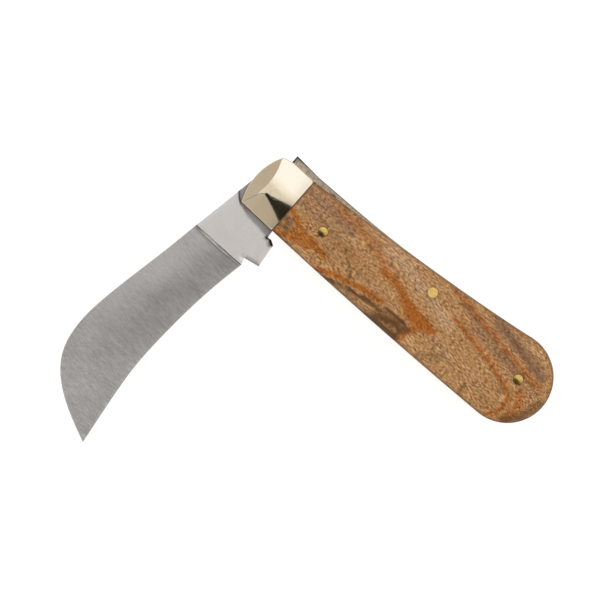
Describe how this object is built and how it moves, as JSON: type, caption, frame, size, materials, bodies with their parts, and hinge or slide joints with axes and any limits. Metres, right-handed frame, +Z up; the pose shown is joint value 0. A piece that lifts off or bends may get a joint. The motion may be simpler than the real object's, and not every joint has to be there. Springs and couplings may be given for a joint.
{
  "type": "hawkbill grafting and pruning knife",
  "caption": "Folding horticultural knife with a hawkbill blade, back spring, brass liners, nickel silver bolsters and pinned wooden scales, half open.",
  "frame": {"origin": "on the blade's pivot axis, at the flat pile side face that the knife lies on", "axes": "+X along the handle from the pivot to the butt, +Y to the back of the handle, where the spring is, +Z up through the handle to the mark side"},
  "size_m": [0.1208, 0.1081, 0.0134],
  "materials": {
    "blade_steel": "flat ground with fine marks across the blade, polished ricasso",
    "spring_steel": "brushed along its length",
    "nickel_silver": "polished, warm white metal",
    "brass": "sanded flush and lightly polished",
    "handle_wood": "sanded and oiled, open grain"
  },
  "bodies": {
    "handle": {"mark_side_liner": "brass", "mark_side_bolster": "nickel_silver", "mark_side_scale": "handle_wood", "mark_side_scale_pin": "brass", "mark_side_bolster_rivet_upper": "nickel_silver", "mark_side_bolster_rivet_lower": "nickel_silver", "pile_side_liner": "brass", "pile_side_bolster": "nickel_silver", "pile_side_scale": "handle_wood", "pile_side_scale_pin": "brass", "pile_side_bolster_rivet_upper": "nickel_silver", "pile_side_bolster_rivet_lower": "nickel_silver", "pivot_pin": "nickel_silver", "middle_pin": "brass", "butt_pin": "brass"},
    "blade": {"blade": "blade_steel"},
    "back_spring": {"back_spring": "spring_steel"}
  },
  "joints": [
    {"name": "blade_pivot", "type": "hinge", "parent": "handle", "child": "blade", "pos_m": [0, 0, 0.0067], "axis": [0, 0, -1], "range_deg": [-87, 75.3]},
    {"name": "back_spring_flex", "type": "hinge", "parent": "handle", "child": "back_spring", "pos_m": [0.0539, 0.00693, 0.0067], "axis": [0, 0, -1], "range_deg": [-2.34, 0], "stiffness_Nm_per_rad": 5, "deforming": ["back_spring"]}
  ]
}
